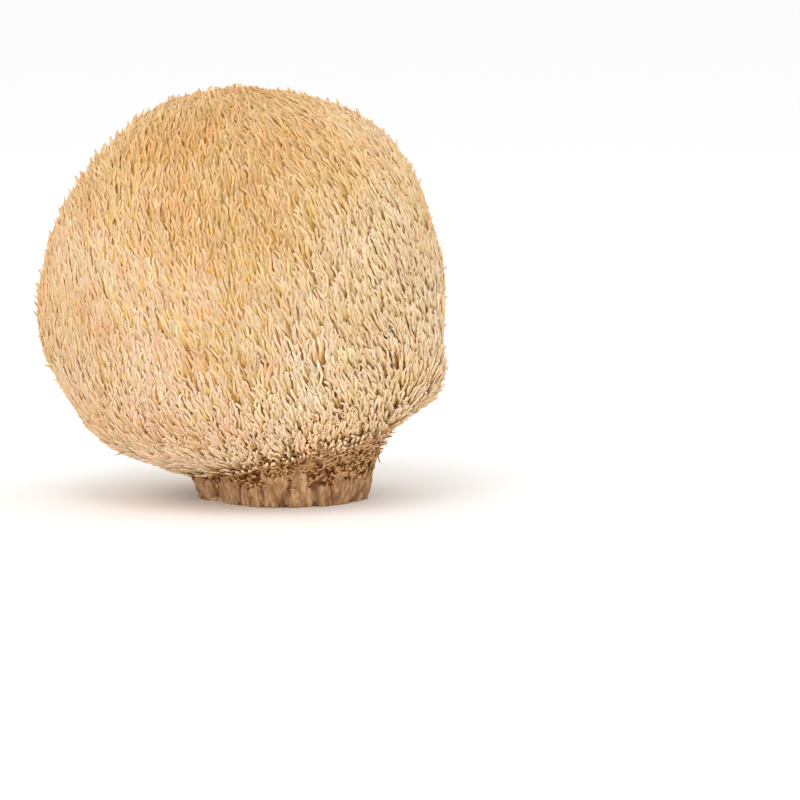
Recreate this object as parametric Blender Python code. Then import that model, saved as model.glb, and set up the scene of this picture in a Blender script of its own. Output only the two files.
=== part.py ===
"""A dried lion's mane mushroom: a round head of short spines, grown in one piece with its stump.

Metres, +Z up. The origin is the middle of the cut face that the mushroom rests on.
"""

import math
import random

import bmesh
import bpy
from mathutils import Vector, noise

# Driving dimensions. The head's half sizes are measured to the tips of its spines.
HEAD_CENTRE = Vector((-0.0070, 0.0000, 0.0383))
HEAD_HALF_WIDTH = 0.0341
HEAD_HALF_DEPTH = 0.0340
HEAD_HALF_HEIGHT = 0.0342
CUT_RADIUS = 0.0145
STUMP_FLARE = 0.22  # widening of the stump for each metre of height
NECK_BLEND = 0.0018  # roundness of the hollow between the head and the stump
STUMP_LOBES = ((2, 0.05, 1.6), (3, 0.04, 2.0), (5, 0.03, 0.5))  # waves round it, share, start
BELOW_CUT = 0.0060  # stump that is made below the cut face and then cut away

# The head is fuller low down all round, as a bun is
LOW_SWELL = 0.0030
LOW_SWELL_ELEVATION = math.radians(-42)
LOW_SWELL_SPREAD = math.radians(20)

# Swellings and hollows of this head: direction from its centre, rise, spread in degrees
SWELLS = (
    (Vector((0.89, -0.05, -0.46)), 0.0030, 14),
    (Vector((0.92, 0.00, -0.40)), -0.0006, 8),
    (Vector((0.85, 0.00, -0.53)), 0.0010, 7),
    (Vector((0.68, 0.00, -0.73)), -0.0027, 9),
    (Vector((1.00, 0.00, 0.00)), 0.0010, 10),
    (Vector((0.74, 0.00, 0.67)), 0.0022, 22),
    (Vector((0.10, 0.00, 0.99)), -0.0006, 20),
    (Vector((-0.77, 0.00, 0.64)), -0.0006, 12),
    (Vector((-0.98, 0.00, -0.21)), 0.0013, 17),
    (Vector((-0.94, 0.00, -0.34)), 0.0009, 11),
    (Vector((-0.83, -0.05, -0.56)), -0.0009, 14),
    (Vector((-0.62, -0.10, -0.78)), 0.0010, 13),
    (Vector((0.52, 0.83, 0.20)), 0.0016, 25),
    (Vector((-0.55, 0.74, -0.39)), 0.0013, 20),
    (Vector((-0.20, 0.94, 0.28)), -0.0012, 18),
    (Vector((-0.05, -0.99, -0.10)), -0.0006, 15),
)

# Spines, which are combed from the base of the head up to its crown
SITES = 1660  # points of the head's skin, between which the spines grow
SPINE_ROOT_DEPTH = 0.0024  # flesh below the head's outline
SPINE_HEIGHT = 0.0036
SPINE_LEAN = 0.65  # sideways reach of a spine's tip for each metre of its height
SPINE_UNEVENNESS = 0.20  # share of its height that a spine may lack
SPINY_FROM = 0.0004  # lead of the head over the stump where spines begin
SPINY_FULL = 0.0032  # and where they have their full height
CROWN = Vector((-0.10, 0.00, 1.00)).normalized()
BASE = Vector((0.25, 0.00, -1.00)).normalized()
WHORL = 0.35  # width of the crown and of the base in which the spines stand up

SITE_JITTER = 0.30  # share of the sites' spacing
SKIN_RIPPLE = 0.0004
RIPPLE_LENGTH = 0.0070
GOLDEN_ANGLE = math.pi * (3 - math.sqrt(5))
SEED = 7

FLESH_COLOUR = (0.62, 0.40, 0.19, 1.0)
FLESH_ROUGHNESS = 0.85


def smooth_step(low, high, value):
    """0 below low, 1 above high, and an even rise between them."""
    share = min(max((value - low) / (high - low), 0.0), 1.0)
    return share * share * (3 - 2 * share)


def bell(distance, spread):
    return math.exp(-0.5 * (distance / spread) ** 2)


def head_reach(direction):
    """Distance from the head's centre to the tips of its spines."""
    across = Vector((
        direction.x / HEAD_HALF_WIDTH,
        direction.y / HEAD_HALF_DEPTH,
        direction.z / HEAD_HALF_HEIGHT,
    ))
    reach = 1 / across.length
    elevation = math.asin(max(-1.0, min(1.0, direction.z)))
    reach += LOW_SWELL * bell(elevation - LOW_SWELL_ELEVATION, LOW_SWELL_SPREAD)
    for towards, rise, spread in SWELLS:
        reach += rise * bell(direction.angle(towards), math.radians(spread))
    return reach


def stump_reach(direction):
    """Distance from the head's centre to the stump's wall or to its end, and 0 where it looks up."""
    if direction.z > -STUMP_FLARE:
        return 0.0
    turn = math.atan2(direction.y, direction.x)
    uneven = 1 + sum(share * math.cos(waves * turn + first) for waves, share, first in STUMP_LOBES)
    start, wall = HEAD_CENTRE.xy, CUT_RADIUS * uneven + STUMP_FLARE * HEAD_CENTRE.z
    widening = STUMP_FLARE * direction.z
    a = direction.xy.length_squared - widening**2
    b = start.dot(direction.xy) - wall * widening
    c = start.length_squared - wall**2
    to_wall = -c / (b + math.sqrt(b * b - a * c))
    to_end = -(HEAD_CENTRE.z + BELOW_CUT) / direction.z
    return min(to_wall, to_end)


def lead_over_stump(direction):
    return head_reach(direction) - stump_reach(direction)


def tip_reach(direction):
    """Distance from the head's centre to the outside: head and stump, blended at the neck."""
    head, stump = head_reach(direction), stump_reach(direction)
    return (head + stump + math.hypot(head - stump, NECK_BLEND)) / 2


def cover(direction):
    """Share of their full height that the spines have here: none on the stump."""
    return smooth_step(SPINY_FROM, SPINY_FULL, lead_over_stump(direction))


def root_point(direction):
    """Point of the flesh, from which the spines rise."""
    ripple = SKIN_RIPPLE * noise.noise(direction * (HEAD_HALF_WIDTH / RIPPLE_LENGTH))
    reach = tip_reach(direction) - SPINE_ROOT_DEPTH * cover(direction) + ripple
    return HEAD_CENTRE + direction * reach


def combed(direction):
    """Sideways direction in which the spines lean: away from the base and towards the crown."""
    to_crown, from_base = CROWN - direction, direction - BASE
    flow = to_crown / to_crown.length_squared + from_base / from_base.length_squared
    flow -= flow.dot(direction) * direction
    upright = min(1.0, to_crown.length / WHORL, from_base.length / WHORL)
    return flow.normalized() * upright


def site_directions(count, rng):
    """Nearly even directions all round, on a golden-angle spiral, each moved a little at random."""
    spacing = math.sqrt(4 * math.pi / count)
    for i in range(count):
        height = 1 - (2 * i + 1) / count
        width = math.sqrt(1 - height * height)
        turn = i * GOLDEN_ANGLE
        moved = Vector((width * math.cos(turn), width * math.sin(turn), height))
        moved += SITE_JITTER * spacing * Vector([rng.uniform(-1, 1) for _ in range(3)])
        yield moved.normalized()


def raise_spines(bm, rng):
    """Draws a leaning spine out of the middle of each face of the head's skin."""
    spiny = {}
    for face in bm.faces:
        direction = (face.calc_center_median() - HEAD_CENTRE).normalized()
        if cover(direction) > 0:
            spiny[face] = direction
    tips = bmesh.ops.poke(bm, faces=list(spiny))["verts"]
    for tip in tips:
        direction = (tip.co - HEAD_CENTRE).normalized()
        height = SPINE_HEIGHT * cover(direction) * (1 - rng.uniform(0, SPINE_UNEVENNESS))
        tip.co += height * (direction + SPINE_LEAN * combed(direction))


def cut_flat(bm):
    """Cuts the stump off at Z = 0 and closes it with one flat face."""
    everything = [*bm.verts, *bm.edges, *bm.faces]
    cut = bmesh.ops.bisect_plane(
        bm, geom=everything, plane_co=(0, 0, 0), plane_no=(0, 0, -1), clear_outer=True
    )
    rim = [item for item in cut["geom_cut"] if isinstance(item, bmesh.types.BMEdge)]
    bmesh.ops.contextual_create(bm, geom=rim)


def flesh_material():
    material = bpy.data.materials.new("dried_flesh")
    material.use_nodes = True
    shader = material.node_tree.nodes["Principled BSDF"]
    shader.inputs["Base Color"].default_value = FLESH_COLOUR
    shader.inputs["Roughness"].default_value = FLESH_ROUGHNESS
    shader.inputs["Metallic"].default_value = 0.0
    return material


def make_fruiting_body():
    rng = random.Random(SEED)
    bm = bmesh.new()
    for direction in site_directions(SITES, rng):
        bm.verts.new(direction)
    bmesh.ops.convex_hull(bm, input=list(bm.verts))
    for vert in bm.verts:
        vert.co = root_point(vert.co.normalized())
    raise_spines(bm, rng)
    cut_flat(bm)
    bmesh.ops.recalc_face_normals(bm, faces=list(bm.faces))
    mesh = bpy.data.meshes.new("fruiting_body")
    bm.to_mesh(mesh)
    bm.free()
    mesh.materials.append(flesh_material())
    body = bpy.data.objects.new("fruiting_body", mesh)
    bpy.context.collection.objects.link(body)


for old in list(bpy.data.objects):
    bpy.data.objects.remove(old)
make_fruiting_body()
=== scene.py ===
import math

import bmesh
import bpy
import numpy as np
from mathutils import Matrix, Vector, kdtree, noise


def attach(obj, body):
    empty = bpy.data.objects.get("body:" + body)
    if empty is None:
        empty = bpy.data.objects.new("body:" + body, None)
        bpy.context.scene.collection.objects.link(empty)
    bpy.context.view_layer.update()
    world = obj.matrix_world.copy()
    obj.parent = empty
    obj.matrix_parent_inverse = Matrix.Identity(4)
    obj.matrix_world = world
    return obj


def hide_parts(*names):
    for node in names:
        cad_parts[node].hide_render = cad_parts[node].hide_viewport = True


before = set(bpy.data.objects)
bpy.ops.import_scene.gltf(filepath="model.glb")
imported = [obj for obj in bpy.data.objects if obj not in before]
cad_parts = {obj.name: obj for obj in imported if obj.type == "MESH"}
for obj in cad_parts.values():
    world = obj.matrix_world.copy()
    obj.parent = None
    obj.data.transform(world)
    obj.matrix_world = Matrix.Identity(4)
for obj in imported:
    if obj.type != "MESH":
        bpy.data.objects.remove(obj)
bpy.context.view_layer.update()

# --- Flesh ---------------------------------------------------------------------------------
# The round head under its spines and the stump that it grew on, one piece of dried, fibrous
# flesh. It is drawn out of a sphere, and the knife left its lower end flat.
head_centre = np.array([-0.0070, 0.0000, 0.0383])
head_half_sizes = np.array([0.0341, 0.0340, 0.0342])  # to the tips of the spines
low_swell, low_swell_elevation, low_swell_spread = 0.0030, math.radians(-42), math.radians(20)
swells = (  # direction from the head's centre, rise, spread in degrees
    ((0.89, -0.05, -0.46), 0.0030, 14),
    ((0.92, 0.00, -0.40), -0.0006, 8),
    ((0.85, 0.00, -0.53), 0.0010, 7),
    ((0.68, 0.00, -0.73), -0.0027, 9),
    ((1.00, 0.00, 0.00), 0.0010, 10),
    ((0.74, 0.00, 0.67), 0.0022, 22),
    ((0.10, 0.00, 0.99), -0.0006, 20),
    ((-0.77, 0.00, 0.64), -0.0006, 12),
    ((-0.98, 0.00, -0.21), 0.0013, 17),
    ((-0.94, 0.00, -0.34), 0.0009, 11),
    ((-0.83, -0.05, -0.56), -0.0009, 14),
    ((-0.62, -0.10, -0.78), 0.0010, 13),
    ((0.52, 0.83, 0.20), 0.0016, 25),
    ((-0.55, 0.74, -0.39), 0.0013, 20),
    ((-0.20, 0.94, 0.28), -0.0012, 18),
    ((-0.05, -0.99, -0.10), -0.0006, 15),
)
cut_radius, stump_flare, neck_blend = 0.0145, 0.22, 0.0018
stump_lobes = ((2, 0.05, 1.6), (3, 0.04, 2.0), (5, 0.03, 0.5))  # waves round it, share, start
spiny_from, spiny_full = 0.0004, 0.0032  # lead of the head over the stump
coat_depth = 0.0013  # depth of the flesh below the spines' tips
sphere_rounds, stump_cuts = 5, 8  # fineness of the mesh, finer on the stump
crease_depth, fine_crease_depth, fold_depth = 0.0007, 0.0003, 0.0010  # down the stump
creases, fine_creases, fold_waves = (5, 150), (12, 330), (3, 40)  # round it, for each metre up
crease_share, fine_crease_share = 0.16, 0.20  # noise up to which there is a crease
grain_waves = ((0.0002, 0.0008, 60),)  # in the bark: depth, length and seed of the noise
lump_waves = ((0.0003, 0.0024, 0),)  # in the skin
pore_depth, pore_length, pore_seed = 0.0006, 0.0010, 51
pore_waves = ((0.3, 0.0050, 52),)  # more and fewer pores
side_from, edge_softness = 0.0008, 0.0006  # height and width of the edge round the cut
shaded_parts = (  # where painted shade darkens the flesh between the spines: direction, share, spread
    ((0.84, -0.44, -0.30), 1.0, 34),
    ((0.35, -0.50, -0.80), 0.7, 20),
    ((-0.35, 0.70, -0.60), 0.6, 28),
)
noise_gain = 1.6  # brings the noise to about -1 to 1


def unit(vectors):
    return vectors / np.linalg.norm(vectors, axis=-1, keepdims=True)


def bell(distance, spread):
    return np.exp(-0.5 * (distance / spread) ** 2)


def smooth_step(low, high, value):
    share = ((value - low) / (high - low)).clip(0, 1)
    return share * share * (3 - 2 * share)


def near(ways, towards, spread):
    """1 in one direction from the head's centre, and less with the angle from it."""
    apart = np.arccos((ways @ unit(np.array(towards))).clip(-1, 1))
    return bell(apart, math.radians(spread))


def sum_near(ways, parts):
    """Sum of what each part of the head adds: (direction, amount, spread in degrees)."""
    return sum(amount * near(ways, towards, spread) for towards, amount, spread in parts)


def waver(points, length, seed):
    """Smooth random numbers, about -1 to 1, that change over the given length."""
    shift = Vector((seed, 0, 0))
    return np.array([noise.noise(Vector(p) / length + shift) for p in points]) * noise_gain


def wavering(points, waves):
    """Sum of such random numbers, each of its own (amount, length, seed)."""
    return sum(amount * waver(points, length, seed) for amount, length, seed in waves)


def head_reach(ways):
    """Distance from the head's centre to the spines' tips, for each unit direction."""
    reach = 1 / np.linalg.norm(ways / head_half_sizes, axis=1)
    elevation = np.arcsin(ways[:, 2].clip(-1, 1))
    reach += low_swell * bell(elevation - low_swell_elevation, low_swell_spread)
    return reach + sum_near(ways, swells)


def stump_reach(ways):
    """Distance from the head's centre to the stump's wall or its cut face, and 0 upwards."""
    turn = np.arctan2(ways[:, 1], ways[:, 0])
    uneven = 1 + sum(share * np.cos(waves * turn + first) for waves, share, first in stump_lobes)
    start, wall = head_centre[:2], cut_radius * uneven + stump_flare * head_centre[2]
    down = np.minimum(ways[:, 2], -stump_flare)
    widening = stump_flare * down
    a = (ways[:, :2] ** 2).sum(1) - widening**2
    b = ways[:, :2] @ start - wall * widening
    c = start @ start - wall**2
    to_wall = -c / (b + np.sqrt(b * b - a * c))
    to_cut = -head_centre[2] / down
    reach = np.minimum(to_wall, to_cut)
    return np.where(ways[:, 2] < -stump_flare, reach, 0.0)


def outline_reach(ways):
    """Head and stump in one, with a soft hollow at the neck, flat where the knife went."""
    head, stump = head_reach(ways), stump_reach(ways)
    reach = (head + stump + np.hypot(head - stump, neck_blend)) / 2
    to_cut = head_centre[2] / np.maximum(-ways[:, 2], 1e-6)
    return np.minimum(reach, to_cut)


def cover(ways):
    """Share of their full length that the spines have: none on the stump."""
    return smooth_step(spiny_from, spiny_full, head_reach(ways) - stump_reach(ways))


def flesh_points(ways):
    reach = outline_reach(ways) - coat_depth * cover(ways)
    return head_centre + ways * reach[:, None]


bm = bmesh.new()
bmesh.ops.create_icosphere(bm, subdivisions=sphere_rounds, radius=1)
middles = np.array([face.calc_center_median().normalized() for face in bm.faces])
bm.faces.ensure_lookup_table()
edges = {edge for i in np.flatnonzero(cover(middles) < 0.9) for edge in bm.faces[i].edges}
bmesh.ops.subdivide_edges(bm, edges=list(edges), cuts=stump_cuts, use_grid_fill=True)
bmesh.ops.triangulate(bm, faces=[face for face in bm.faces if len(face.verts) > 3])
mesh = bpy.data.meshes.new("flesh")
bm.to_mesh(mesh)
bm.free()
ways = np.empty(len(mesh.vertices) * 3, np.float32)
mesh.vertices.foreach_get("co", ways)
ways = unit(ways.reshape(-1, 3).astype(float))
points = flesh_points(ways)


def folds(points, waves, per_metre):
    """Noise that runs down the stump, of that fineness round it and for each metre up."""
    turn = np.arctan2(points[:, 1], points[:, 0])
    return np.array([
        noise.noise(Vector((waves * math.cos(t), waves * math.sin(t), per_metre * z)))
        for t, z in zip(turn, points[:, 2])
    ])


# folds and creases that run down the stump, a lumpy skin all round, and pores in the cut
bare = 1 - cover(ways)
from_axis = np.hypot(points[:, 0], points[:, 1])
creased = 1 - smooth_step(0, crease_share, np.abs(folds(points, *creases)))
finely = 1 - smooth_step(0, fine_crease_share, np.abs(folds(points, *fine_creases)))
inward = crease_depth * creased + fine_crease_depth * finely
inward += wavering(points, grain_waves) - fold_depth * folds(points, *fold_waves)
inward *= bare * smooth_step(0.3, 1.0, from_axis / cut_radius)
points[:, :2] *= (1 - inward / np.maximum(from_axis, 0.001))[:, None]
side = smooth_step(0.0, side_from, points[:, 2])
points += ways * (side * wavering(points, lump_waves))[:, None]
cut = (1 - side) * smooth_step(-edge_softness, edge_softness, cut_radius * 0.97 - from_axis)
pores = smooth_step(0.25, 0.75, waver(points, pore_length, pore_seed))
pores += wavering(points, pore_waves)
points[:, 2] += cut * pore_depth * pores.clip(0, 1)
# painted shade: darker in the creases down the stump
crease_shade = (0.8 * creased + 0.6 * finely).clip(0, 1)
mesh.vertices.foreach_set("co", points.ravel())
shaded = sum_near(ways, shaded_parts).clip(0, 1)
for name, values in (("bare", bare), ("cut", cut), ("shaded", shaded), ("crease", crease_shade)):
    mesh.attributes.new(name, "FLOAT", "POINT").data.foreach_set("value", values)
mesh.shade_smooth()
flesh = bpy.data.objects.new("flesh", mesh)
bpy.context.collection.objects.link(flesh)


def new_material(name, roughness):
    material = bpy.data.materials.new(name)
    material.use_nodes = True
    shader = material.node_tree.nodes["Principled BSDF"]
    shader.inputs["Roughness"].default_value = roughness
    return material, material.node_tree, shader


def attribute(tree, name):
    node = tree.nodes.new("ShaderNodeAttribute")
    node.attribute_name = name
    return node.outputs["Fac"]


def ramp(tree, value, *stops):
    """Colour that changes with a value: (position, (red, green, blue)) stops."""
    node = tree.nodes.new("ShaderNodeValToRGB")
    elements = node.color_ramp.elements
    elements.remove(elements[1])
    for i, (position, colour) in enumerate(stops):
        element = elements[0] if i == 0 else elements.new(position)
        element.position = position
        element.color = (*colour, 1)
    tree.links.new(value, node.inputs["Fac"])
    return node.outputs["Color"]


def blend(tree, factor, first, second, kind="MIX"):
    node = tree.nodes.new("ShaderNodeMix")
    node.data_type = "RGBA"
    node.blend_type = kind
    for socket, value in ((node.inputs[0], factor), (node.inputs[6], first), (node.inputs[7], second)):
        if isinstance(value, bpy.types.NodeSocket):
            tree.links.new(value, socket)
        else:
            socket.default_value = value
    return node.outputs[2]


def mottle(tree, per_metre, detail=6, stretch=(1, 1, 1)):
    """Noise of that fineness in the object's own space, finer or coarser along some axes."""
    place = tree.nodes.new("ShaderNodeTexCoord")
    mapping = tree.nodes.new("ShaderNodeMapping")
    mapping.inputs["Scale"].default_value = stretch
    node = tree.nodes.new("ShaderNodeTexNoise")
    node.inputs["Scale"].default_value = per_metre
    node.inputs["Detail"].default_value = detail
    tree.links.new(place.outputs["Object"], mapping.inputs["Vector"])
    tree.links.new(mapping.outputs["Vector"], node.inputs["Vector"])
    return node.outputs["Fac"]


def bump(tree, shader, height, depth):
    node = tree.nodes.new("ShaderNodeBump")
    node.inputs["Distance"].default_value = depth
    tree.links.new(height, node.inputs["Height"])
    tree.links.new(node.outputs["Normal"], shader.inputs["Normal"])


flesh_skin, tree, shader = new_material("flesh_skin", 0.85)
under_coat = ramp(tree, mottle(tree, 260), (0.30, (0.62, 0.36, 0.14)), (0.72, (0.78, 0.52, 0.24)))
# painted shade: dark brown flesh where the spines over it part
in_shade = ramp(tree, mottle(tree, 260), (0.30, (0.16, 0.065, 0.02)), (0.72, (0.34, 0.165, 0.06)))
fibres = mottle(tree, 1600, stretch=(1, 1, 0.25))
bark = ramp(
    tree, fibres, (0.30, (0.27, 0.125, 0.05)), (0.50, (0.44, 0.25, 0.115)), (0.70, (0.62, 0.41, 0.22))
)
patches = ramp(tree, mottle(tree, 350, 3), (0.35, (0.78, 0.70, 0.60)), (0.62, (1.0, 1.0, 1.0)))
bark = blend(tree, 1.0, bark, patches, "MULTIPLY")
# painted shade, darker in the stump's creases
painted_crease_shade = ramp(tree, attribute(tree, "crease"), (0.1, (1.0, 1.0, 1.0)), (1.0, (0.50, 0.40, 0.32)))
bark = blend(tree, 1.0, bark, painted_crease_shade, "MULTIPLY")
grain = ramp(
    tree,
    mottle(tree, 2200),
    (0.34, (0.42, 0.25, 0.12)),
    (0.50, (0.66, 0.46, 0.26)),
    (0.68, (0.78, 0.60, 0.38)),
)
colour = blend(tree, attribute(tree, "shaded"), under_coat, in_shade)
colour = blend(tree, attribute(tree, "bare"), colour, bark)
colour = blend(tree, attribute(tree, "cut"), colour, grain)
tree.links.new(colour, shader.inputs["Base Color"])
bump(tree, shader, fibres, 0.0002)
flesh.data.materials.append(flesh_skin)
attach(flesh, "root")
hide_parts("fruiting_body")

# --- Spines --------------------------------------------------------------------------------
# Thousands of thin blunt spines of dried flesh, grown out of the head. They lie over one
# another like thatch, combed up from the stump and matted in small tufts that part most on
# the right and low down. One mesh for each side of the head and one for its crown.
spine_sites, site_jitter = 27000, 0.20  # all round the head, and their unevenness
kept_share, kept_more = 0.76, 0.22  # share of the sites that have a spine, and more low down
barely_covered = 0.20  # cover up to which none grows
spine_length, spine_width, flatness = 0.0054, 0.00056, 0.70  # thickness for each width
size_spread = 0.12  # how uneven the spines are, as a share of their length and width
spine_sides, fine_steps = 4, 24  # a spine's bend is worked out at the fine steps
ring_steps = np.array([0, 9, 15, 20, 24])  # those at which it has a ring of vertices
taper_places, taper = (0, 0.25, 0.8, 1), (1.20, 1.20, 1.12, 0.80)  # shares of the width
tip_height = 0.32  # of the rounded end, for each width
root_depth = 0.0004  # of a spine's foot in the flesh
root_lean, full_lean = np.radians([60, 84])  # from the skin's normal
low_tip_lean, high_tip_lean = np.radians([82, 76])
lift_spread, crown_lift, loose_lift = 3, 12, -3  # degrees off the skin
free_lift = (27, 8)  # mean and spread
swing_spread, bend_spread, wave_size = 7, 6, (23, 9)  # degrees sideways, or mean and spread
waves_along = 1.7  # turns of that wave along a spine
swing_waves = ((13, 0.0022, 3), (8, 0.0120, 5))  # amount, length and seed of noise, as below
lift_waves, bend_waves = ((3, 0.0030, 9),), ((10, 0.0020, 41),)
pale_waves = ((0.14, 0.0120, 31), (0.10, 0.0030, 33))
pink_waves = ((0.22, 0.0050, 35), (0.10, 0.0022, 37))
blotch_length, blotch_seed = 0.0032, 45
bright_waves = ((0.07, 0.0012, 39),)
tuft_share, tuft_pull, tuft_reach = 0.17, 0.10, 0.0009  # leading spines, and their pull
crown = unit(np.array([-0.03, -0.05, 1.00]))
base = unit(np.array([0.18, 0.12, -0.97]))
twist = math.radians(12)  # turn of the combing all round
partings = (  # direction from the head's centre, further turn and spread in degrees
    ((0.75, -0.56, -0.33), 14, 14),
    ((0.56, -0.50, -0.70), 14, 12),
    ((0.56, -0.62, -0.55), -10, 9),
    ((0.39, -0.90, -0.22), -10, 9),
    ((0.72, -0.66, 0.20), -10, 10),
    ((-0.60, -0.55, -0.58), -22, 18),
    ((-0.15, -0.52, -0.82), -10, 15),
    ((-0.75, -0.37, 0.55), 33, 16),
    ((-0.35, -0.83, 0.45), -10, 14),
    ((0.00, -0.97, 0.22), 4, 12),
    ((-0.90, -0.26, -0.35), -35, 14),
    ((0.85, -0.50, 0.10), 14, 14),
    ((0.22, -0.97, -0.08), -4, 16),
    ((-0.84, -0.54, -0.05), 14, 16),
    ((0.50, 0.80, 0.35), -24, 20),
    ((-0.55, 0.80, -0.20), 22, 18),
)
loose_parts = (  # where the spines part more: direction, share, spread
    ((0.86, -0.42, -0.22), 1.0, 25),
    ((0.35, -0.50, -0.80), 0.4, 14),
    ((0.88, -0.42, 0.30), 0.6, 18),
    ((-0.35, 0.70, -0.60), 1.0, 28),
    ((-0.46, -0.40, -0.80), 0.55, 11),
)
free_parts = (  # where single tips stand off: direction, share, spread
    ((-0.80, 0.05, 0.60), 1.0, 32),
    ((0.05, 0.30, 0.95), 1.0, 34),
)
raised_parts = (((-0.15, -0.62, 0.77), 14, 24),)  # where all tips do: direction, degrees, spread
golden_parts = (  # where the spines are yellower: direction, amount, spread
    ((-0.05, -0.60, 0.80), 0.30, 26),
    ((-0.20, 0.10, 0.97), 0.21, 45),
    ((-0.97, -0.10, 0.25), 0.10, 30),
    ((0.50, 0.70, 0.40), 0.15, 30),
)
hole_sites, hole_jitter = 5200, 0.35
stray_holes = 0.06  # share of those sites with a hole where the spines don't part
hole_width, hole_height, hole_depth, beside_hole = 0.00068, 0.00034, 0.0008, 0.0007
crown_from = 0.72  # share of the head's radius above its centre where the crown begins
golden_angle = math.pi * (3 - math.sqrt(5))
rng = np.random.default_rng(11)


def spread_ways(count, jitter):
    """Nearly even directions all round the head, each moved a little at random."""
    i = np.arange(count)
    height = 1 - (2 * i + 1) / count
    width = np.sqrt(1 - height**2)
    ways = np.stack([width * np.cos(i * golden_angle), width * np.sin(i * golden_angle), height], 1)
    spacing = math.sqrt(4 * math.pi / count)
    return unit(ways + rng.normal(0, jitter * spacing, ways.shape))


def skin_normals(ways, reach_of):
    """Outward normal at each direction of the surface with that reach."""
    step = 0.02
    aside = unit(np.cross(ways, [0.3, 0.2, 0.93]))  # any direction in the skin
    across = np.cross(ways, aside)

    def at(shift):
        moved = unit(ways + shift)
        return moved * reach_of(moved)[:, None]

    along_a = at(step * aside) - at(-step * aside)
    along_b = at(step * across) - at(-step * across)
    return unit(np.cross(along_a, along_b))


def turned(vectors, axes, angles):
    """Each vector turned about its axis, to which it is square."""
    return vectors * np.cos(angles)[:, None] + np.cross(axes, vectors) * np.sin(angles)[:, None]


def combed(ways, normals):
    """Direction in the skin in which each spine lies over."""
    to_crown, from_base = crown - ways, ways - base
    flow = to_crown / (to_crown**2).sum(1)[:, None] ** 2
    flow += from_base / (from_base**2).sum(1)[:, None] ** 2
    flow = unit(flow - (flow * normals).sum(1)[:, None] * normals)
    return turned(flow, normals, twist + np.radians(sum_near(ways, partings)))


def looseness(ways):
    return sum_near(ways, loose_parts).clip(0, 1)


def nearest(points, queries):
    """Which of the points lies nearest to each query."""
    tree = kdtree.KDTree(len(points))
    for i, point in enumerate(points):
        tree.insert(point, i)
    tree.balance()
    return np.array([tree.find(query)[1] for query in queries])


steps = ring_steps / fine_steps
fine = np.linspace(0, 1, fine_steps + 1)[None]


def bent_lines(roots, normals, lie, length, lean, sway):
    """Rings' centres and headings along spines, from their lean and sway at fine steps."""
    aside = np.cross(normals, lie)
    over = np.cos(sway)[..., None] * lie[:, None] + np.sin(sway)[..., None] * aside[:, None]
    heading = np.cos(lean)[..., None] * normals[:, None] + np.sin(lean)[..., None] * over
    stretch = (heading[:, 1:] + heading[:, :-1]) / 2 * (length / fine_steps)[:, None, None]
    run = np.concatenate([np.zeros_like(heading[:, :1]), np.cumsum(stretch, 1)], 1)
    return (roots[:, None] + run)[:, ring_steps], heading[:, ring_steps]


def drawn_together(middle, aside, share, pull):
    """Tufts: each spine's end is drawn sideways to that of a leading spine close by."""
    leaders = np.flatnonzero(rng.random(len(middle)) < share)
    leader = leaders[nearest(middle[leaders, -1], middle[:, -1])]
    apart = ((middle[leader, -1] - middle[:, -1]) * aside).sum(1).clip(-tuft_reach, tuft_reach)
    return middle + (pull[:, None] * steps**1.4 * apart[:, None])[..., None] * aside[:, None]


def spine_verts(middle, forward, normals, width):
    """Rings of vertices round each spine, thinner to its end, and one on the rounded tip."""
    aside = unit(np.cross(normals[:, None], forward))
    outward = np.cross(forward, aside)
    angle = 2 * math.pi * (np.arange(spine_sides) + 0.5) / spine_sides
    ring = np.cos(angle)[:, None] * aside[:, :, None]
    ring = ring + flatness * np.sin(angle)[:, None] * outward[:, :, None]
    radius = 0.5 * width[:, None] * np.interp(steps, taper_places, taper)
    ring = middle[:, :, None] + ring * radius[..., None, None]
    tip = middle[:, -1] + forward[:, -1] * (tip_height * width)[:, None]
    return np.concatenate([ring.reshape(len(middle), -1, 3), tip[:, None]], 1)


# the faces of one spine: quads between its rings, triangles to its tip, and its closed root
per_spine = len(steps) * spine_sides + 1
quads = [
    (r * spine_sides + s, r * spine_sides + (s + 1) % spine_sides,
     (r + 1) * spine_sides + (s + 1) % spine_sides, (r + 1) * spine_sides + s)
    for r in range(len(steps) - 1) for s in range(spine_sides)
]
last = (len(steps) - 1) * spine_sides
caps = [(last + s, last + (s + 1) % spine_sides, per_spine - 1) for s in range(spine_sides)]
end = tuple(reversed(range(spine_sides)))
corners = np.array([c for face in (*quads, *caps, end) for c in face])
sizes = np.array([len(face) for face in (*quads, *caps, end)])
along = np.append(np.repeat(steps, spine_sides), 1.0)

# where those faces' corners lie on a flat map of one spine: its root, its sides and its tip
root_to, sides_from, sides_to = 0.10, 0.12, 0.88  # heights on the map
row = (sides_to - sides_from) / (len(steps) - 1)
flat = []
for face in quads:
    turns = [face[0] % spine_sides + more for more in (0, 1, 1, 0)]
    flat += [(turn, sides_from + row * (c // spine_sides)) for turn, c in zip(turns, face)]
for s in range(spine_sides):
    flat += [(s, sides_to), (s + 1, sides_to), (s + 0.5, 1.0)]
flat += [(0, root_to), (1, root_to), (1, 0), (0, 0)]
flat = np.array(flat) / (spine_sides, 1)


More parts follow.
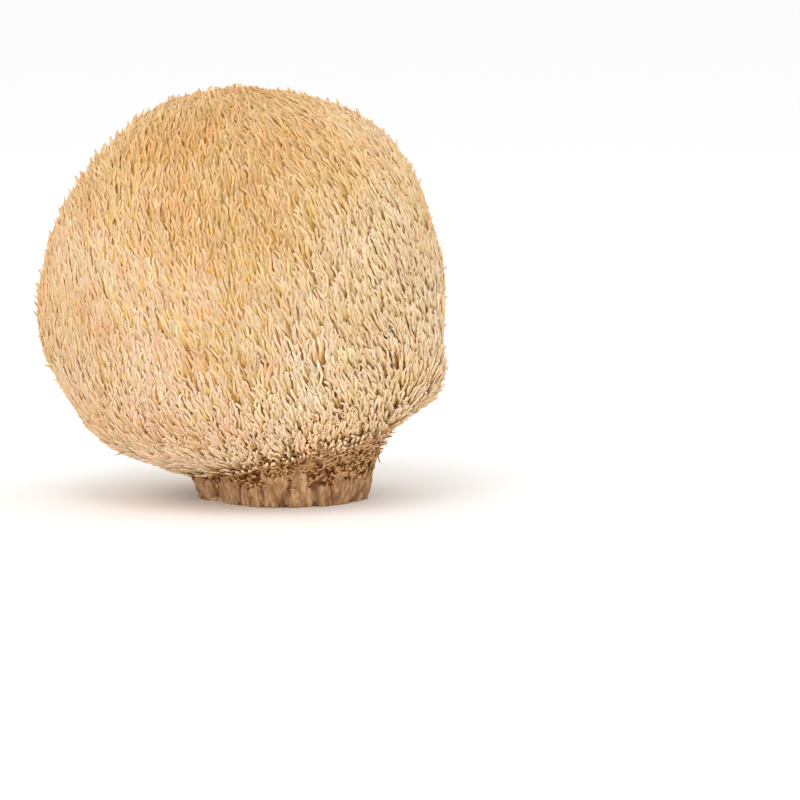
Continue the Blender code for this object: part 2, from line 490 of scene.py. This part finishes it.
def spiny_piece(name, verts, material, **numbers):
    """One piece of many spines, with a number of each kind for every spine."""
    n = len(verts)
    mesh = bpy.data.meshes.new(name)
    mesh.vertices.add(n * per_spine)
    mesh.vertices.foreach_set("co", verts.ravel())
    mesh.loops.add(n * len(corners))
    shift = np.arange(n)[:, None]
    mesh.loops.foreach_set("vertex_index", (corners + per_spine * shift).ravel())
    mesh.polygons.add(n * len(sizes))
    starts = np.cumsum(sizes) - sizes
    mesh.polygons.foreach_set("loop_start", (starts + len(corners) * shift).ravel())
    columns = {number: np.repeat(values, per_spine) for number, values in numbers.items()}
    columns["along"] = np.tile(along, n)
    for number, values in columns.items():
        mesh.attributes.new(number, "FLOAT", "POINT").data.foreach_set("value", values)
    # a flat map with a small square for every spine, for exporting the colours
    squares, margin = math.ceil(math.sqrt(n)), 0.08
    square = np.stack([np.arange(n) % squares, np.arange(n) // squares], 1)[:, None]
    places = (square + margin + (1 - 2 * margin) * flat) / squares
    mesh.uv_layers.new(name="OFBake").data.foreach_set("uv", places.ravel())
    mesh.update(calc_edges=True)
    mesh.validate()
    mesh.shade_smooth()
    mesh.materials.append(material)
    piece = bpy.data.objects.new(name, mesh)
    bpy.context.collection.objects.link(piece)
    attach(piece, "root")
    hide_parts("fruiting_body")


# the sites that have a spine, and which way each is combed
ways = spread_ways(spine_sites, site_jitter)
loose = looseness(ways)
dense = np.maximum(loose, smooth_step(0.35, 0.70, -ways[:, 2]))
kept = rng.random(spine_sites) < kept_share + kept_more * dense
kept &= cover(ways) > barely_covered
ways, loose = ways[kept], loose[kept]
count = len(ways)
normals = skin_normals(ways, head_reach)
roots = flesh_points(ways) - root_depth * normals
ruffled = 1 - 0.10 * loose
swing = wavering(roots, swing_waves) + rng.normal(0, swing_spread, count)
lie = turned(combed(ways, normals), normals, np.radians(swing) * ruffled)

# each spine's size, its lean over the skin and its sway from side to side
grown = 0.60 + 0.40 * smooth_step(0.2, 0.9, cover(ways))  # shorter near the neck
length = spine_length * grown * rng.normal(1, size_spread, count)
width = spine_width * rng.normal(1, size_spread, count).clip(0.7, 1.35) * (1 - 0.06 * loose)
width *= 1 - 0.05 * smooth_step(0.50, 0.90, -ways[:, 2])
free = sum_near(ways, free_parts).clip(0, 1)
high = smooth_step(-0.65, 0.10, ways[:, 2])
whorl = 1 - smooth_step(0.05, 0.30, np.linalg.norm(ways - crown, axis=1))  # 1 in the crown
lift = rng.normal(0, lift_spread, count) + wavering(roots, lift_waves)
lift += crown_lift * whorl + loose_lift * loose + sum_near(ways, raised_parts)
lift += rng.normal(*free_lift, count) * (rng.random(count) < 0.02 + 0.11 * free)
tip_lean = low_tip_lean + (high_tip_lean - low_tip_lean) * high - np.radians(lift)
lean = (  # it bends down to the skin, and its end rises again
    root_lean
    + (full_lean - root_lean) * smooth_step(0, 0.35, fine)
    + (tip_lean[:, None] - full_lean) * smooth_step(0.5, 1, fine)
    + (length / head_half_sizes[0])[:, None] * fine  # the head's curve
)
bend = (rng.normal(0, bend_spread, count) + wavering(roots, bend_waves)) * ruffled
wave = rng.normal(*wave_size, count) * ruffled
phase = rng.uniform(0, 1, count)
turns = waves_along * fine + phase[:, None]
sway = bend[:, None] * fine + wave[:, None] * np.sin(2 * math.pi * turns)
middle, forward = bent_lines(roots, normals, lie, length, lean, np.radians(sway))
middle = drawn_together(middle, np.cross(normals, lie), tuft_share, tuft_pull - 0.04 * loose)

# small holes, from which the spines bend away to both sides
hole_ways = spread_ways(hole_sites, hole_jitter)
hole_share = stray_holes + (1 - stray_holes) * looseness(hole_ways)
hole_ways = hole_ways[rng.random(hole_sites) < hole_share]
holes = head_centre + hole_ways * (outline_reach(hole_ways) - hole_depth)[:, None]
closest = holes[nearest(holes, middle.reshape(-1, 3))].reshape(middle.shape)
apart = middle - closest
aside = np.cross(normals, lie)[:, None]
across = (apart * aside).sum(2)
up = (apart * lie[:, None]).sum(2)
push = (1 - np.abs(across) / beside_hole).clip(0, 1) ** 2 * bell(up, hole_height) * hole_width / 2
middle += (np.where(across < 0, -push, push) * smooth_step(0, 0.3, steps))[..., None] * aside
verts = spine_verts(middle, forward, normals, width)

# colour numbers: how pale a spine is, how pink, brightness with painted light, brown root with painted
# shade
middle_front = near(ways, (0.00, -0.93, 0.36), 24)
below_middle = near(ways, (0.20, -0.92, -0.32), 20)
low_left = near(ways, (-0.80, -0.50, -0.38), 18)
low_front = near(ways, (0.30, -0.45, -0.85), 20)
low_right = near(ways, (0.50, -0.62, -0.60), 22)
rosy_left = near(ways, (-0.35, -0.80, -0.45), 45)
right_side = near(ways, (0.85, -0.50, -0.05), 32)
golden = sum_near(ways, golden_parts) + 0.12 * middle_front
pale = 0.57 + wavering(roots, pale_waves) + 0.12 * low_right - 0.10 * below_middle - golden
pink = 0.44 + wavering(roots, pink_waves) + 0.22 * rosy_left - 0.14 * right_side
pink += 0.30 * smooth_step(0.45, 0.80, waver(roots, blotch_length, blotch_seed))
uneven = 0.05 + 0.08 * golden + 0.02 * loose  # from one spine to the next
bright = 1.005 + wavering(roots, bright_waves) + uneven * rng.normal(0, 1, count)
# painted light low in front and where the spines part, painted shade in the middle and low left
bright *= 1 + 0.05 * loose - 0.03 * middle_front - 0.04 * below_middle
bright *= (1 - 0.05 * low_left) * (1 + 0.09 * low_front)
neck = 1 - smooth_step(0.0, 0.6, cover(ways))
# brown roots near the neck and where the spines part: partly own browning, partly painted shade
browned = (0.05 + 0.85 * loose + 0.6 * neck).clip(0, 1)

spine_flesh, tree, shader = new_material("spine_flesh", 0.7)
shader.inputs["Subsurface Weight"].default_value = 0.3
shader.inputs["Subsurface Radius"].default_value = (0.0006, 0.0005, 0.0004)
shader.inputs["Subsurface Scale"].default_value = 1.0
shader.inputs["Specular IOR Level"].default_value = 0.1
hue = ramp(
    tree,
    attribute(tree, "pale"),
    (0.0, (0.68, 0.40, 0.155)),
    (0.35, (0.77, 0.51, 0.25)),
    (0.65, (0.82, 0.60, 0.375)),
    (1.0, (0.87, 0.69, 0.495)),
)
blush = ramp(
    tree,
    attribute(tree, "pink"),
    (0.10, (0.98, 1.01, 0.91)),
    (0.40, (1.0, 1.0, 1.0)),
    (0.62, (1.0, 0.975, 0.99)),
    (0.92, (1.0, 0.87, 0.89)),
)
# yellower to the root as painted warm shade between spines, paler at the tip as painted highlight
fair_root = ramp(
    tree,
    attribute(tree, "along"),
    (0.0, (1.07, 0.96, 0.42)),
    (0.45, (1.04, 1.0, 0.70)),
    (0.75, (1.0, 1.0, 0.99)),
    (1.0, (1.025, 1.05, 1.15)),
)
# dark lower half of a spine: partly its own browning, partly painted shade between spines
shaded_brown_root = ramp(
    tree,
    attribute(tree, "along"),
    (0.0, (0.26, 0.13, 0.05)),
    (0.48, (0.24, 0.125, 0.05)),
    (0.64, (0.88, 0.80, 0.64)),
    (0.80, (1.0, 1.0, 0.99)),
    (1.0, (1.03, 1.05, 1.14)),
)
root = blend(tree, attribute(tree, "browned"), fair_root, shaded_brown_root)
specks = ramp(tree, mottle(tree, 1500, 3), (0.30, (0.90, 0.88, 0.84)), (0.60, (1.03, 1.03, 1.03)))
colour = hue
for layer in (blush, root, attribute(tree, "bright"), specks):
    colour = blend(tree, 1.0, colour, layer, "MULTIPLY")
tree.links.new(colour, shader.inputs["Base Color"])
bump(tree, shader, mottle(tree, 4000, 3), 0.00006)

sides = ("front", "right", "back", "left")
heading = np.degrees(np.arctan2(ways[:, 1], ways[:, 0]))
sector = ((heading + 135) // 90).astype(int) % 4
near_crown = ways[:, 2] > crown_from
groups = {name: (sector == i) & ~near_crown for i, name in enumerate(sides)}
groups["crown"] = near_crown
for name, own in groups.items():
    spiny_piece(
        "spines_" + name, verts[own], spine_flesh,
        pale=pale[own], pink=pink[own], bright=bright[own], browned=browned[own],
    )

# --- Neck fringe ---------------------------------------------------------------------------
# Short brown curly spines that stayed small where the head meets the stump, tangled and
# sparser down to the cut. They are dried flesh too, grown out of the stump.
fringe_sites, fringe_jitter = 108000, 0.35  # all round the head, and their unevenness
fringe_low, fringe_high = 0.0032, 0.0150  # heights above the cut
thin_at, full_at = 0.0020, 0.0075  # heights between which it grows denser
fringe_lead = 0.0050  # lead of the head over the stump up to which it grows
fringe_length, fringe_width, fringe_root_depth = 0.0024, 0.00034, 0.0003
fringe_turn, fringe_curl = (20, 55), (0, 80)  # mean and spread in degrees
fringe_root_lean, fringe_more_lean = (58, 7), (32, 8)
ways = spread_ways(fringe_sites, fringe_jitter)
places = flesh_points(ways)
height = places[:, 2]
lead = head_reach(ways) - stump_reach(ways)
density = smooth_step(thin_at, full_at, height)
density *= 1 - 0.7 * smooth_step(0.0020, 0.0045, lead)  # sparser under the long spines
chosen = (lead < fringe_lead) & (height > fringe_low) & (height < fringe_high)
chosen &= rng.random(len(ways)) < 0.10 + 0.90 * density
ways, places, height, density = ways[chosen], places[chosen], height[chosen], density[chosen]
count = len(ways)
normals = skin_normals(ways, outline_reach)
upward = np.array([0.0, 0.0, 1.0]) - normals[:, 2:] * normals
lie = turned(unit(upward), normals, np.radians(rng.normal(*fringe_turn, count)))
length = fringe_length * (0.55 + 0.45 * density) * rng.normal(1, 0.2, count).clip(0.5, 1.4)
width = fringe_width * rng.normal(1, size_spread, count).clip(0.7, 1.3)
lean = np.radians(rng.normal(*fringe_root_lean, count))[:, None]
more_lean = np.radians(rng.normal(*fringe_more_lean, count))[:, None]
lean = lean + more_lean * smooth_step(0, 0.6, fine)
curl = np.radians(rng.normal(*fringe_curl, count)[:, None] * fine)
roots = places - fringe_root_depth * normals
middle, forward = bent_lines(roots, normals, lie, length, lean, curl)
verts = spine_verts(middle, forward, normals, width)
upper = smooth_step(0.0065, 0.0125, height)
# darker and browner lower down: partly the stump's own brown, partly painted shade under the head
spiny_piece(
    "neck_fringe", verts, spine_flesh,
    pale=0.10 + 0.50 * upper + rng.normal(0, 0.12, count),
    pink=0.75 + rng.normal(0, 0.15, count),
    bright=0.85 + 0.12 * upper + rng.normal(0, 0.08, count),
    browned=1 - 0.35 * upper,
)

# --- Floor, light and camera ---------------------------------------------------------------
# A plain white floor, a white surround that fills every shadow, and three soft lamps: a large
# one from the front left, a low one from the front and one from above. The camera looks almost
# level, from well back.
floor_half_width = 40
floor_white, floor_roughness = (0.97, 0.97, 0.97, 1), 0.9
lamps = (  # name, place, width, watts
    ("key", (-0.35, -0.90, 0.25), 0.8, 2.5),
    ("low_fill", (0.18, -0.90, 0.03), 0.5, 2.35),
    ("top", (-0.15, -0.35, 0.85), 0.4, 1.1),
)
lamps_aim = Vector((0, 0, 0.04))
camera_distance, camera_drop = 0.80, math.radians(6.4)
picture_scale, picture_side = 0.1756e-3, 800  # metres a pixel at the mushroom, and pixels
head_from_left, head_from_top = 241, 280  # pixels to the head's centre
sensor_width, nearest_seen = 36, 0.05

bm = bmesh.new()
bmesh.ops.create_grid(bm, x_segments=1, y_segments=1, size=floor_half_width)
floor_mesh = bpy.data.meshes.new("floor")
bm.to_mesh(floor_mesh)
bm.free()
floor = bpy.data.objects.new("floor", floor_mesh)
bpy.context.collection.objects.link(floor)
white = bpy.data.materials.new("white_floor")
white.use_nodes = True
white.node_tree.nodes["Principled BSDF"].inputs["Base Color"].default_value = floor_white
white.node_tree.nodes["Principled BSDF"].inputs["Roughness"].default_value = floor_roughness
floor_mesh.materials.append(white)

world = bpy.data.worlds.new("surround")
world.use_nodes = True
world.node_tree.nodes["Background"].inputs["Color"].default_value = (1, 1, 1, 1)
world.node_tree.nodes["Background"].inputs["Strength"].default_value = 1.0
bpy.context.scene.world = world

for name, place, wide, watts in lamps:
    lamp_data = bpy.data.lights.new(name, "AREA")
    lamp_data.shape = "DISK"
    lamp_data.size = wide
    lamp_data.energy = watts
    lamp = bpy.data.objects.new(name, lamp_data)
    lamp.location = place
    lamp.rotation_euler = (lamps_aim - lamp.location).to_track_quat("-Z", "Y").to_euler()
    bpy.context.collection.objects.link(lamp)

aim_right = (picture_side / 2 - head_from_left) * picture_scale
aim_down = (picture_side / 2 - head_from_top) * picture_scale
look = Vector((0, math.cos(camera_drop), -math.sin(camera_drop)))
rise = Vector((0, math.sin(camera_drop), math.cos(camera_drop)))
aim = Vector(head_centre) + Vector((aim_right, 0, 0)) - rise * aim_down
camera_data = bpy.data.cameras.new("camera")
camera_data.sensor_width = sensor_width
camera_data.lens = sensor_width * camera_distance / (picture_side * picture_scale)
camera_data.clip_start = nearest_seen
camera = bpy.data.objects.new("camera", camera_data)
camera.location = aim - look * camera_distance
camera.rotation_euler = look.to_track_quat("-Z", "Y").to_euler()
bpy.context.collection.objects.link(camera)
bpy.context.scene.camera = camera
bpy.context.scene.view_settings.view_transform = "Standard"
